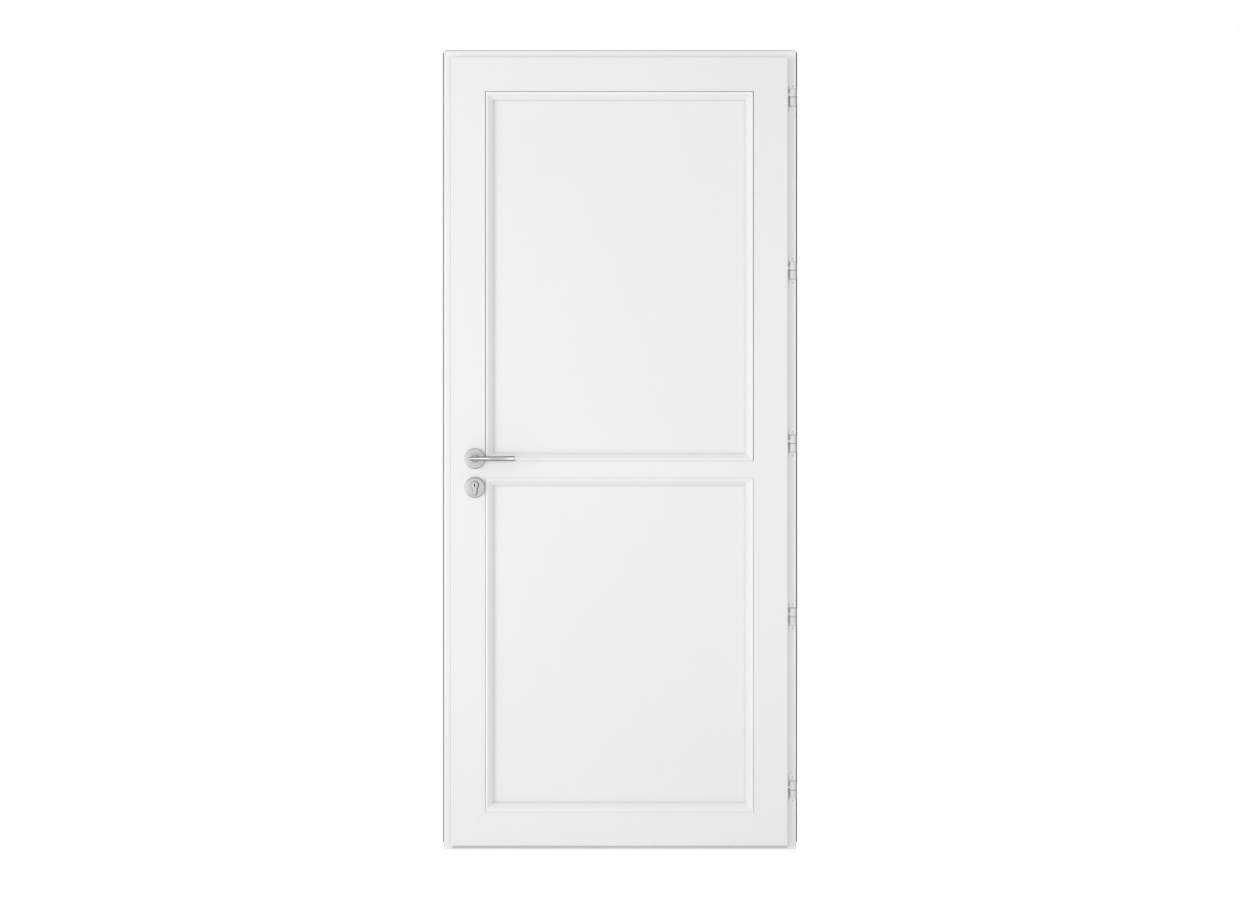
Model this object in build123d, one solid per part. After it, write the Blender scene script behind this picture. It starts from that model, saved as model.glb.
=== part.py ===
# White PVC front door, closed in its frame. Millimetres, +Z up.
# X runs from the lock side to the hinge side and Y from the room to the outside.
# The origin is on the floor, under the middle of the frame.
from build123d import *
import os

# Frame: two jambs and a head, cut from one hollow profile
frame_width = 886
frame_height = 2000
frame_depth = 70
jamb_width = 32
stop_width = 20
frame_wall = 3
frame_edge_radius = 2.5
frame_inner_radius = 1.5
frame_corner_radius = 11
stop_slope = 6
fixing_radius = 4.5
fixing_end_distance = 250
fixing_count = 4

# Aluminium threshold under the jambs
threshold_height = 20
threshold_nose = 26
threshold_nose_height = 9
threshold_wall = 2
threshold_inset = 2
threshold_edge_radius = 1

# Frame strips that stay in view round the leaf, and the gap under the leaf
lock_strip = 21.5
hinge_strip = 24.5
head_strip = 21
floor_gap = 13.5

# Leaf: four mitred members and a middle rail
leaf_thickness = 70
sash_face = 85.5
sash_wall = 3
flange_projection = 20.5
flange_thickness = 15
leaf_edge_radius = 3
flange_back_radius = 1
body_edge_radius = 1.5
leaf_corner_radius = 4
lip_width = 19.5
lip_slope = 9
lip_nose_radius = 2
edge_groove_width = 16.4
edge_groove_depth = 3
middle_chamber = 19
middle_rail_width = 41.5
rail_below_lever = 27.5
weld_groove = 0.45

# Seals: a root in a groove and a soft bulb in the gap
seal_gap = 3
seal_clearance = 0.3
seal_bulb_width = 4
seal_root_width = 2.6
seal_root_depth = 3.4
seal_edge_offset = 4
seal_bulb_radius = 1.2

# Panels, their back seals and setting blocks
panel_recess = 20
panel_thickness = 28
panel_edge_gap = 5
panel_seal_thickness = 3
panel_seal_width = 6
panel_seal_inset = 2
block_length = 80
block_end_offset = 110

# Beads that hold the panels
bead_width = 19.5
bead_flat = 7
bead_nose_height = 6
bead_shoulder_radius = 8
bead_nose_radius = 1.5
bead_open_joint = 1.9
bead_top_joint = 1.4
bead_close_joint = 0.5
bead_joint_depth = 9
bead_tongue_drop = 12
bead_tongue_thickness = 2.6
bead_tongue_depth = 3
bead_groove_clearance = 0.2

# Hinges: a plate with a lower knuckle on the frame, an upper knuckle with a stem in the leaf
hinge_count = 5
hinge_low_height = 153
hinge_top_drop = 121
hinge_plate_width = 18
hinge_plate_height = 75
hinge_plate_thickness = 3
hinge_plate_edge = 0.8
hinge_edge_distance = 11.5
hinge_screw_spacing = 60
knuckle_radius = 8.2
knuckle_height = 20.4
knuckle_edge = 1.2
knuckle_plate_clearance = 0.5
knuckle_web = 9
hinge_washer_thickness = 1.2
hinge_pin_radius = 4
hinge_pin_reach = 16
hinge_pin_clearance = 0.05
hinge_pin_end_clearance = 0.3
stem_radius = 3.4
stem_rise = 6.6
stem_length = 44
stem_clearance = 0.05

# Screws with countersunk heads
screw_head_radius = 4
screw_rim = 0.6
screw_shank_radius = 2
screw_recess_radius = 1.9
screw_recess_depth = 1.6
screw_clearance = 0.05
hinge_screw_length = 32
strike_screw_length = 22
faceplate_screw_length = 20
rose_screw_length = 20

# Lock in the lock stile
lever_height = 979
lock_centres = 66
backset = 40
case_thickness = 15
case_wall = 2
case_depth = 57.5
case_above_lever = 46
case_below_cylinder = 34
case_pocket_clearance = 0.5
faceplate_width = 16
faceplate_height = 200
faceplate_edge_radius = 8
faceplate_screw_inset = 9
bolt_clearance = 0.3
bolt_thickness = 10
latch_height = 16
latch_rise = 28
latch_throw = 14
latch_tip_flat = 2.5
latch_head_length = 21
latch_tail_height = 6
latch_tail_rise = 25
latch_tail_thickness = 8
latch_lug_height = 9
latch_lug_length = 5.4
latch_lug_setback = 2.4
deadbolt_height = 30
deadbolt_rise = 33
deadbolt_length = 42
deadbolt_throw = 20
deadbolt_edge = 1
follower_radius = 9
follower_clearance = 0.05
follower_arm_width = 5
follower_arm_reach = 22
lever_range_angle = 40

# Strike plate on the lock jamb
strike_thickness = 2.5
strike_width = 24
strike_height = 170
strike_edge_radius = 4
strike_screw_inset = 10
strike_opening_clearance = 2
strike_pocket_clearance = 6

# Cylinder with a euro profile
cylinder_radius = 8.5
cylinder_height = 33
cylinder_tail_width = 10
cylinder_stand = 4
cylinder_clearance = 0.3
key_rose_clearance = 0.8
plug_radius = 6.3
plug_clearance = 0.05
keyway_width = 2.6
keyway_height = 8.4
keyway_depth = 28
cam_zone = 10
cam_radius = 13.2
cam_ring_radius = 8
cam_nose_width = 7
cam_side_clearance = 0.2
cam_sweep_clearance = 0.5
cylinder_screw_radius = 2.5
cylinder_screw_head = 4.4

# Lever furniture on both faces of the leaf
rose_radius = 26
rose_thickness = 9
rose_edge_radius = 4.2
rose_wall = 1.6
rose_front = 2.4
key_rose_drop = 6
base_clearance = 0.3
base_screw_offset = 16.5
spindle_size = 8
spindle_clearance = 0.06
spindle_reach = 12
spindle_hole_radius = 10
neck_radius = 9
neck_clearance = 0.3
neck_stand = 4
neck_edge = 1
lever_reach = 50
lever_length = 102
lever_depth = 17
lever_root_height = 9.4
lever_tip_height = 12.4
lever_edge_radius = 3
lever_tip_radius = 1.2

# Straight part left at each end of a plate with round ends
plate_end_flat = 0.45

# One overrun serves every cut
overrun = 5

# Places that follow from the sizes above
frame_left = -frame_width / 2
frame_right = frame_width / 2
frame_front_y = -frame_depth / 2
frame_back_y = frame_depth / 2
flange_back_y = frame_front_y - seal_gap
leaf_face_y = flange_back_y - flange_thickness
leaf_back_y = leaf_face_y + leaf_thickness
leaf_middle_y = (leaf_face_y + leaf_back_y) / 2
stop_face_y = leaf_back_y + seal_gap
leaf_left = frame_left + lock_strip
leaf_right = frame_right - hinge_strip
leaf_top = frame_height - head_strip
leaf_bottom = floor_gap
body_left = leaf_left + flange_projection
opening_left = leaf_left + sash_face
opening_right = leaf_right - sash_face
opening_top = leaf_top - sash_face
opening_bottom = leaf_bottom + sash_face
middle_rail_height = lever_height - rail_below_lever
rail_top = middle_rail_height + middle_rail_width / 2
rail_bottom = middle_rail_height - middle_rail_width / 2
panel_face_y = leaf_face_y + panel_recess
panel_back_y = panel_face_y + panel_thickness
lip_front_y = panel_back_y + panel_seal_thickness
lock_x = body_left + backset
cylinder_z = lever_height - lock_centres
hinge_x = frame_right - hinge_edge_distance
plate_front_y = frame_front_y - hinge_plate_thickness
hinge_y = plate_front_y - knuckle_plate_clearance - knuckle_radius
hinge_top_height = frame_height - hinge_top_drop
hinge_pitch = (hinge_top_height - hinge_low_height) / (hinge_count - 1)
hinge_heights = [hinge_top_height - index * hinge_pitch for index in range(hinge_count)]
fixing_pitch = (frame_height - 2 * fixing_end_distance) / (fixing_count - 1)
fixing_heights = [fixing_end_distance + index * fixing_pitch for index in range(fixing_count)]
fixing_y = (frame_wall / 2 + stop_face_y) / 2
case_front_x = body_left + edge_groove_depth
case_back_x = case_front_x + case_depth
case_top = lever_height + case_above_lever
case_bottom = cylinder_z - case_below_cylinder
latch_z = lever_height + latch_rise
deadbolt_z = cylinder_z + deadbolt_rise
rebate_left = frame_left + jamb_width
strike_middle = (latch_z + latch_height / 2 + deadbolt_z - deadbolt_height / 2) / 2
strike_pocket_depth = deadbolt_throw - (body_left - rebate_left) + strike_pocket_clearance
base_radius = rose_radius - rose_wall - base_clearance
base_thickness = rose_thickness - rose_front - base_clearance
cylinder_room_y = leaf_face_y - rose_thickness - cylinder_stand
cylinder_street_y = leaf_back_y + rose_thickness + cylinder_stand
cylinder_tail = cylinder_height - cylinder_radius - cylinder_tail_width / 2

panel_bounds = {
    "upper": (rail_top, opening_top),
    "lower": (opening_bottom, rail_bottom),
}


def flat(u_low, u_high, y_low, y_high):
    """Rectangle between two corners of a section."""
    middle = Pos((u_low + u_high) / 2, (y_low + y_high) / 2)
    return middle * Rectangle(u_high - u_low, y_high - y_low)


def block(x_range, y_range, z_range):
    """Box between the ends of three ranges."""
    sizes = [high - low for low, high in (x_range, y_range, z_range)]
    middle = [(low + high) / 2 for low, high in (x_range, y_range, z_range)]
    return Pos(*middle) * Box(*sizes)


def centred(middle, size):
    """Range of a size about its middle."""
    return (middle - size / 2, middle + size / 2)


def rod(start, direction, radius, length):
    """Round bar from a point along a direction."""
    return extrude(Plane(start, z_dir=direction) * Circle(radius), amount=length)


def prism_y(sketch, y_low, y_high):
    """Section in the X and Z plane, run along Y."""
    return Pos(0, y_high, 0) * extrude(Plane.XZ * sketch, amount=y_high - y_low)


def outside(room_piece):
    """Twin of a piece on the room face, on the outer face of the leaf."""
    return mirror(room_piece, about=Plane((0, leaf_middle_y, 0), z_dir=(0, 1, 0)))


def ring(left, right, bottom, top):
    """Planes of a rectangle's sides: x points inward, y outdoors and z along the side."""
    width = right - left
    height = top - bottom
    return {
        "lock": (Plane((left, 0, bottom), x_dir=(1, 0, 0), z_dir=(0, 0, 1)), height),
        "top": (Plane((left, 0, top), x_dir=(0, 0, -1), z_dir=(1, 0, 0)), width),
        "hinge": (Plane((right, 0, top), x_dir=(-1, 0, 0), z_dir=(0, 0, -1)), height),
        "bottom": (Plane((right, 0, bottom), x_dir=(0, 0, 1), z_dir=(-1, 0, 0)), width),
    }


def member(profile, side, square_start=False, square_end=False, groove_y=None):
    """Section run along one side, with mitred ends unless they are square."""
    plane, length = side
    bounds = profile.bounding_box()
    outer = min(bounds.min.X, 0) - overrun
    inner = bounds.max.X + overrun
    depth = max(abs(bounds.min.Y), abs(bounds.max.Y)) + overrun
    blank = Pos(0, 0, outer) * extrude(profile, amount=length - 2 * outer)
    start = [(outer, 0), (inner, 0)] if square_start else [(outer, outer), (inner, inner)]
    end = [(inner, length), (outer, length)]
    if not square_end:
        end = [(inner, length - inner), (outer, length - outer)]
    limits = make_face(Polyline(*start, *end, close=True))
    piece = blank & extrude(Plane.XZ * limits, amount=depth, both=True)
    if groove_y is not None:
        for place, way in ((0, 1), (length, -1)):
            line = Plane((0, groove_y, place), x_dir=(0, 1, 0), z_dir=(1, 0, way))
            piece -= extrude(line * RegularPolygon(weld_groove, 4), amount=2 * inner, both=True)
    return plane * piece


def rounded_plate(width, height, radius):
    """Plate outline with rounded corners, limited by its own width."""
    limit = min(radius, width / 2 - plate_end_flat)
    return RectangleRounded(width, height, limit)


def screw(length, clearance=0):
    """Countersunk screw, head at the origin and shank along +Z; a clearance makes its hole."""
    head = screw_head_radius + clearance
    shank = screw_shank_radius + clearance
    cone = screw_rim + head - shank
    points = [(0, 0), (head, 0), (head, screw_rim), (shank, cone), (shank, length), (0, length)]
    solid = revolve(Plane.XZ * make_face(Polyline(*points, close=True)), Axis.Z)
    if clearance:
        return solid
    return solid - extrude(RegularPolygon(screw_recess_radius, 6), amount=screw_recess_depth)


def screw_places(piece):
    """Plane of each screw of a group: its head's middle and the way it is driven."""
    half = hinge_screw_spacing / 2
    strike_half = strike_height / 2 - strike_screw_inset
    plate_half = faceplate_height / 2 - faceplate_screw_inset
    middle = (case_top + case_bottom) / 2
    face = rebate_left + strike_thickness
    seat = leaf_face_y - base_thickness
    street = leaf_back_y + base_thickness
    groups = {
        "hinge": [
            Plane((hinge_x, plate_front_y, height + way * half), z_dir=(0, 1, 0))
            for height in hinge_heights
            for way in (-1, 1)
        ],
        "strike": [
            Plane((face, leaf_middle_y, strike_middle + way * strike_half), z_dir=(-1, 0, 0))
            for way in (-1, 1)
        ],
        "faceplate": [
            Plane((body_left, leaf_middle_y, middle + way * plate_half), z_dir=(1, 0, 0))
            for way in (-1, 1)
        ],
        "rose": [
            Plane((lock_x, y, lever_height + way * base_screw_offset), z_dir=(0, along, 0))
            for y, along in ((seat, 1), (street, -1))
            for way in (-1, 1)
        ],
    }
    return groups[piece]


def screws(piece, length, clearance=0):
    """All screws of a group, or the holes that take them."""
    return [place * screw(length, clearance) for place in screw_places(piece)]


def seal_root(u_middle, y_face, way, clearance=0):
    """Part of a seal that sits in its groove."""
    width = seal_root_width + 2 * clearance
    depth = seal_root_depth + clearance
    low, high = sorted((y_face, y_face + way * depth))
    return flat(*centred(u_middle, width), low, high)


def seal_profile(u_middle, y_face, way):
    """Seal with its root on one side of a face and its bulb in the gap on the other."""
    bulb_depth = seal_gap - seal_clearance
    low, high = sorted((y_face, y_face - way * bulb_depth))
    bulb = flat(*centred(u_middle, seal_bulb_width), low, high)
    bulb = fillet(bulb.vertices().group_by(Axis.Y)[0 if way > 0 else -1], seal_bulb_radius)
    return bulb + seal_root(u_middle, y_face, way)


def frame_seal_u():
    """Middle of the frame's seal, from the outer face of the frame."""
    return jamb_width + stop_width - seal_edge_offset


def jamb_profile():
    """Hollow frame section, u from its outer face inward."""
    edge = jamb_width + stop_width
    points = [
        (0, frame_front_y),
        (jamb_width, frame_front_y),
        (jamb_width, stop_face_y),
        (edge, stop_face_y),
        (edge, frame_back_y - stop_slope),
        (edge - stop_slope, frame_back_y),
        (0, frame_back_y),
    ]
    small = frame_inner_radius
    radii = [frame_edge_radius, small, 0, small, small, small, small]
    section = make_face(FilletPolyline(*points, radius=radii, close=True))
    u_range = (frame_wall, jamb_width - frame_wall)
    section -= flat(*u_range, frame_front_y + frame_wall, -frame_wall / 2)
    section -= flat(*u_range, frame_wall / 2, frame_back_y - frame_wall)
    return section - seal_root(frame_seal_u(), stop_face_y, 1, bead_groove_clearance)


def frame_sides():
    """Sides of the frame, standing on the threshold."""
    return ring(frame_left, frame_right, threshold_height, frame_height)


def corner_waste(x, z, way_x, way_z, radius):
    """Material outside a rounded corner; the ways point from the corner into the piece."""
    x_range = sorted((x - way_x * overrun, x + way_x * radius))
    z_range = sorted((z - way_z * overrun, z + way_z * radius))
    y_range = (leaf_face_y - overrun, frame_back_y + overrun)
    start = (x + way_x * radius, y_range[0], z + way_z * radius)
    return block(x_range, y_range, z_range) - rod(start, (0, 1, 0), radius, y_range[1] - y_range[0])


def frame_corners():
    """Waste at the rounded upper corners of the frame."""
    corners = ((frame_left, 1), (frame_right, -1))
    return [corner_waste(x, frame_height, way, -1, frame_corner_radius) for x, way in corners]


def fixing_holes(x_outer, way):
    """Holes for the wall screws through one jamb."""
    starts = [(x_outer - way * overrun, fixing_y, height) for height in fixing_heights]
    length = jamb_width + 2 * overrun
    return [rod(start, (way, 0, 0), fixing_radius, length) for start in starts]


def bolt_pocket(height, middle_z):
    """Hole in the jamb's wall that takes a bolt."""
    clearance = strike_opening_clearance
    x_range = (rebate_left - strike_pocket_depth, rebate_left + overrun)
    y_range = centred(leaf_middle_y, bolt_thickness + 2 * clearance)
    return block(x_range, y_range, centred(middle_z, height + 2 * clearance))


def lock_jamb():
    """Jamb with the strike's pockets."""
    piece = member(jamb_profile(), frame_sides()["lock"], square_start=True) - frame_corners()
    piece -= fixing_holes(frame_left, 1)
    piece -= [bolt_pocket(latch_height, latch_z), bolt_pocket(deadbolt_height, deadbolt_z)]
    return piece - screws("strike", strike_screw_length, screw_clearance)


def hinge_jamb():
    """Jamb that carries the hinge plates."""
    piece = member(jamb_profile(), frame_sides()["hinge"], square_end=True) - frame_corners()
    piece -= fixing_holes(frame_right, -1)
    return piece - screws("hinge", hinge_screw_length, screw_clearance)


def frame_head():
    """Top member of the frame."""
    return member(jamb_profile(), frame_sides()["top"]) - frame_corners()


def threshold():
    """Hollow sill: flat under the leaf and the jambs, sloped to a nose outside."""
    nose_y = frame_back_y + threshold_nose
    points = [
        (frame_front_y, 0),
        (frame_front_y, threshold_height),
        (frame_back_y, threshold_height),
        (nose_y, threshold_nose_height),
        (nose_y, 0),
    ]
    small = threshold_edge_radius
    section = make_face(FilletPolyline(*points, radius=[0, small, small, small, 0], close=True))
    inner_top = threshold_height - threshold_wall
    half = threshold_wall / 2
    section -= flat(frame_front_y + threshold_wall, -half, threshold_wall, inner_top)
    section -= flat(half, frame_back_y - threshold_wall, threshold_wall, inner_top)
    half_width = frame_width / 2 - threshold_inset
    return extrude(Plane.YZ * section, amount=half_width, both=True)


def frame_seal():
    """Seal on the frame's stop, up one jamb, across and down the other."""
    profile = seal_profile(frame_seal_u(), stop_face_y, 1)
    sides = frame_sides()
    upright = member(profile, sides["lock"], square_start=True)
    return upright + member(profile, sides["top"]) + member(profile, sides["hinge"], square_end=True)


def leaf_sides():
    """Sides of the leaf's outer edge."""
    return ring(leaf_left, leaf_right, leaf_bottom, leaf_top)


def leaf_corners():
    """Waste at the slightly rounded corners of the leaf."""
    sides = ((leaf_left, 1), (leaf_right, -1))
    ends = ((leaf_bottom, 1), (leaf_top, -1))
    return [corner_waste(x, z, way_x, way_z, leaf_corner_radius) for x, way_x in sides for z, way_z in ends]


def sash_outline():
    """Outer section of a leaf member: flange, body and the lip behind the panel."""
    edge = sash_face + lip_width
    points = [
        (0, leaf_face_y),
        (sash_face, leaf_face_y),
        (sash_face, lip_front_y),
        (edge, lip_front_y),
        (edge, leaf_back_y - lip_slope),
        (edge - lip_slope, leaf_back_y),
        (flange_projection, leaf_back_y),
        (flange_projection, flange_back_y),
        (0, flange_back_y),
    ]
    soft = lip_nose_radius
    radii = [leaf_edge_radius, 0, 0, 0, soft, soft, body_edge_radius, 0, flange_back_radius]
    return make_face(FilletPolyline(*points, radius=radii, close=True))


def chamber_ranges():
    """Depth ranges of the three chambers of a leaf profile."""
    low, high = centred(leaf_middle_y, middle_chamber)
    room = (leaf_face_y + sash_wall, low - sash_wall)
    street = (high + sash_wall, leaf_back_y - sash_wall)
    return room, (low, high), street


def bead_groove(u_face, way):
    """Groove in a rebate that takes the tongue of a bead."""
    depth = bead_tongue_depth + bead_groove_clearance
    width = bead_tongue_thickness + 2 * bead_groove_clearance
    low, high = sorted((u_face - way * depth, u_face + way * overrun))
    return flat(low, high, *centred(leaf_face_y + bead_tongue_drop, width))


def sash_profile():
    """Hollow section of a stile or rail, with its grooves."""
    room, middle, street = chamber_ranges()
    tongue = bead_tongue_depth + bead_groove_clearance
    section = sash_outline()
    section -= flat(flange_projection + sash_wall, sash_face - tongue - sash_wall, *room)
    section -= flat(flange_projection + edge_groove_depth + sash_wall, sash_face - sash_wall, *middle)
    section -= flat(flange_projection + sash_wall, sash_face - sash_wall, *street)
    groove = (flange_projection - overrun, flange_projection + edge_groove_depth)
    section -= flat(*groove, *centred(leaf_middle_y, edge_groove_width))
    section -= bead_groove(sash_face, 1)
    return section - seal_root(seal_edge_offset, flange_back_y, -1, bead_groove_clearance)


def leaf_member(side):
    """One of the four outer members of the leaf."""
    return member(sash_profile(), leaf_sides()[side], groove_y=leaf_face_y) - leaf_corners()


def euro_section(clearance=0):
    """Outline of the cylinder, round above with a narrow tail."""
    half_width = cylinder_tail_width / 2 + clearance
    tail = Pos(0, -cylinder_tail / 2) * Rectangle(2 * half_width, cylinder_tail)
    return Circle(cylinder_radius + clearance) + tail + Pos(0, -cylinder_tail) * Circle(half_width)


def at_lock(z):
    """Place on the lock's line at one height."""
    return Pos(lock_x, 0, z)


def lock_stile():
    """Stile with the lock's pocket and the holes for spindle and cylinder."""
    piece = leaf_member("lock")
    clearance = case_pocket_clearance
    x_range = (body_left, case_back_x + clearance)
    y_range = centred(leaf_middle_y, case_thickness + 2 * clearance)
    piece -= block(x_range, y_range, (case_bottom - clearance, case_top + clearance))
    through = (leaf_face_y - overrun, leaf_back_y + overrun)
    piece -= at_lock(lever_height) * prism_y(Circle(spindle_hole_radius), *through)
    piece -= at_lock(cylinder_z) * prism_y(euro_section(cylinder_clearance), *through)
    piece -= screws("faceplate", faceplate_screw_length, screw_clearance)
    return piece - screws("rose", rose_screw_length, screw_clearance)


def stem_hole(height):
    """Hole in the hinge stile for one hinge stem."""
    radius = stem_radius + stem_clearance
    start = (leaf_right + overrun, hinge_y, height + stem_rise)
    reach = leaf_right + overrun - hinge_x + stem_length + stem_clearance
    return rod(start, (-1, 0, 0), radius, reach)


def hinge_stile():
    """Stile with the holes for the hinge stems."""
    return leaf_member("hinge") - [stem_hole(height) for height in hinge_heights]


def middle_rail():
    """Rail between the panels, shaped at both ends to the stiles."""
    half = middle_rail_width / 2
    edge = half + lip_width
    upper = [
        (half, leaf_face_y),
        (half, lip_front_y),
        (edge, lip_front_y),
        (edge, leaf_back_y - lip_slope),
        (edge - lip_slope, leaf_back_y),
    ]
    points = upper + [(-u, y) for u, y in reversed(upper)]
    radii = [0, 0, 0, lip_nose_radius, lip_nose_radius]
    section = make_face(FilletPolyline(*points, radius=radii + radii[::-1], close=True))
    room, middle, street = chamber_ranges()
    tongue = bead_tongue_depth + bead_groove_clearance
    room_half = half - tongue - sash_wall
    section -= flat(-room_half, room_half, *room)
    section -= flat(sash_wall - half, half - sash_wall, *middle)
    section -= flat(sash_wall - half, half - sash_wall, *street)
    section -= bead_groove(half, 1)
    section -= bead_groove(-half, -1)
    start = Plane((opening_left, 0, middle_rail_height), x_dir=(0, 0, -1), z_dir=(1, 0, 0))
    piece = start * extrude(section, amount=opening_right - opening_left)
    sides = leaf_sides()
    return piece - member(sash_outline(), sides["lock"]) - member(sash_outline(), sides["hinge"])


def leaf_seal():
    """Seal behind the leaf's flange, all the way round."""
    profile = seal_profile(seal_edge_offset, flange_back_y, -1)
    pieces = [member(profile, side) for side in leaf_sides().values()]
    return pieces[0] + pieces[1:]


def panel_ring(panel):
    """Sides of the rebate that takes one panel."""
    return ring(opening_left, opening_right, *panel_bounds[panel])


def panel_slab(panel):
    """Panel, clear of its rebate all round."""
    bottom, top = panel_bounds[panel]
    gap = panel_edge_gap
    x_range = (opening_left + gap, opening_right - gap)
    return block(x_range, (panel_face_y, panel_back_y), (bottom + gap, top - gap))


def panel_seal(panel):
    """Flat seal between one panel and the lip behind it."""
    high = lip_width - panel_seal_inset
    profile = flat(high - panel_seal_width, high, panel_back_y, lip_front_y)
    pieces = [member(profile, side) for side in panel_ring(panel).values()]
    return pieces[0] + pieces[1:]


def setting_blocks():
    """Blocks that carry the two panels on the rails below them."""
    blocks = []
    for bottom, _ in panel_bounds.values():
        for middle in (opening_left + block_end_offset, opening_right - block_end_offset):
            z_range = (bottom, bottom + panel_edge_gap)
            y_range = (panel_face_y, panel_back_y)
            blocks.append(block(centred(middle, block_length), y_range, z_range))
    return Compound(children=blocks)


def bead_profile(joint):
    """Bead section: a flat, a rounded slope and a nose on the panel, with a tongue behind."""
    joint_y = leaf_face_y + bead_joint_depth
    points = [
        (joint, leaf_face_y),
        (bead_flat, leaf_face_y),
        (bead_width, panel_face_y - bead_nose_height),
        (bead_width, panel_face_y),
        (0, panel_face_y),
        (0, joint_y),
        (joint, joint_y),
    ]
    radii = [0, bead_shoulder_radius, bead_nose_radius, 0, 0, 0, 0]
    section = make_face(FilletPolyline(*points, radius=radii, close=True))
    tongue_y = centred(leaf_face_y + bead_tongue_drop, bead_tongue_thickness)
    return section + flat(-bead_tongue_depth, 0, *tongue_y)


def bead(panel, side):
    """One of the four beads of a panel; the upper panel's outer joints stand open."""
    open_joints = {"lock": bead_open_joint, "hinge": bead_open_joint, "top": bead_top_joint}
    joint = open_joints.get(side, bead_close_joint) if panel == "upper" else bead_close_joint
    return member(bead_profile(joint), panel_ring(panel)[side])


def hinge_plate(height):
    """Frame half of a hinge: rounded plate, web and lower knuckle in one casting."""
    outline = rounded_plate(hinge_plate_width, hinge_plate_height, hinge_plate_width / 2)
    piece = extrude(Plane((0, frame_front_y, 0), x_dir=(1, 0, 0), z_dir=(0, -1, 0)) * outline,
                    amount=hinge_plate_thickness)
    piece = chamfer(piece.faces().sort_by(Axis.Y)[0].edges(), hinge_plate_edge)
    low = -hinge_washer_thickness / 2 - knuckle_height
    knuckle = rod((0, hinge_y, low), (0, 0, 1), knuckle_radius, knuckle_height)
    knuckle = chamfer(knuckle.edges().group_by(Axis.Z)[0], knuckle_edge)
    web = block(centred(0, knuckle_web), (hinge_y, plate_front_y), (low, low + knuckle_height))
    piece = piece + knuckle + web
    bore = rod((0, hinge_y, -hinge_pin_reach), (0, 0, 1), hinge_pin_radius + hinge_pin_clearance,
               hinge_pin_reach + overrun)
    placed = Pos(hinge_x, 0, height) * (piece - bore)
    return placed - screws("hinge", hinge_screw_length, screw_clearance)


def hinge_knuckle(height):
    """Leaf half of a hinge: upper knuckle with the stem that enters the stile."""
    low = hinge_washer_thickness / 2
    knuckle = rod((0, hinge_y, low), (0, 0, 1), knuckle_radius, knuckle_height)
    knuckle = chamfer(knuckle.edges().group_by(Axis.Z)[-1], knuckle_edge)
    knuckle += rod((0, hinge_y, stem_rise), (-1, 0, 0), stem_radius, stem_length)
    bore = rod((0, hinge_y, 0), (0, 0, 1), hinge_pin_radius + hinge_pin_clearance,
               hinge_pin_reach + hinge_pin_end_clearance)
    return Pos(hinge_x, 0, height) * (knuckle - bore)


def hinge_pins():
    """Pins of all hinges, standing in the lower knuckles."""
    pin = rod((0, 0, -hinge_pin_reach), (0, 0, 1), hinge_pin_radius, 2 * hinge_pin_reach)
    return Compound(children=[Pos(hinge_x, hinge_y, height) * pin for height in hinge_heights])


def hinge_washers():
    """Washers between the knuckles of all hinges."""
    inner = hinge_pin_radius + hinge_pin_clearance
    face = Circle(knuckle_radius - knuckle_edge / 2) - Circle(inner)
    thickness = hinge_washer_thickness - 2 * hinge_pin_clearance
    washer = Pos(0, 0, -thickness / 2) * extrude(face, amount=thickness)
    return Compound(children=[Pos(hinge_x, hinge_y, height) * washer for height in hinge_heights])


def bolt_hole(height, middle_z, x_range):
    """Hole that guides a bolt through the faceplate and the case."""
    y_range = centred(leaf_middle_y, bolt_thickness + 2 * bolt_clearance)
    return block(x_range, y_range, centred(middle_z, height + 2 * bolt_clearance))


def cylinder_screw_place():
    """Plane of the screw that holds the cylinder, driven from the faceplate."""
    return Plane((body_left, leaf_middle_y, cylinder_z - cylinder_tail), z_dir=(1, 0, 0))


def cylinder_screw_body(clearance=0):
    """Long screw with a countersunk head, or the hole that takes it."""
    head = cylinder_screw_head + clearance
    shank = cylinder_screw_radius + clearance
    length = backset + cylinder_tail_width / 2
    points = [(0, 0), (head, 0), (shank, head - shank), (shank, length), (0, length)]
    return cylinder_screw_place() * revolve(Plane.XZ * make_face(Polyline(*points, close=True)), Axis.Z)


def lock_faceplate():
    """Plate in the stile's edge groove, with holes for bolts and screws."""
    middle = (case_top + case_bottom) / 2
    outline = rounded_plate(faceplate_width, faceplate_height, faceplate_edge_radius)
    place = Plane((body_left, leaf_middle_y, middle), x_dir=(0, 1, 0), z_dir=(1, 0, 0))
    piece = extrude(place * outline, amount=edge_groove_depth)
    x_range = (body_left - overrun, case_front_x + overrun)
    piece -= bolt_hole(latch_height, latch_z, x_range)
    piece -= bolt_hole(deadbolt_height, deadbolt_z, x_range)
    piece -= cylinder_screw_body(screw_clearance)
    return piece - screws("faceplate", faceplate_screw_length, screw_clearance)


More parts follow.
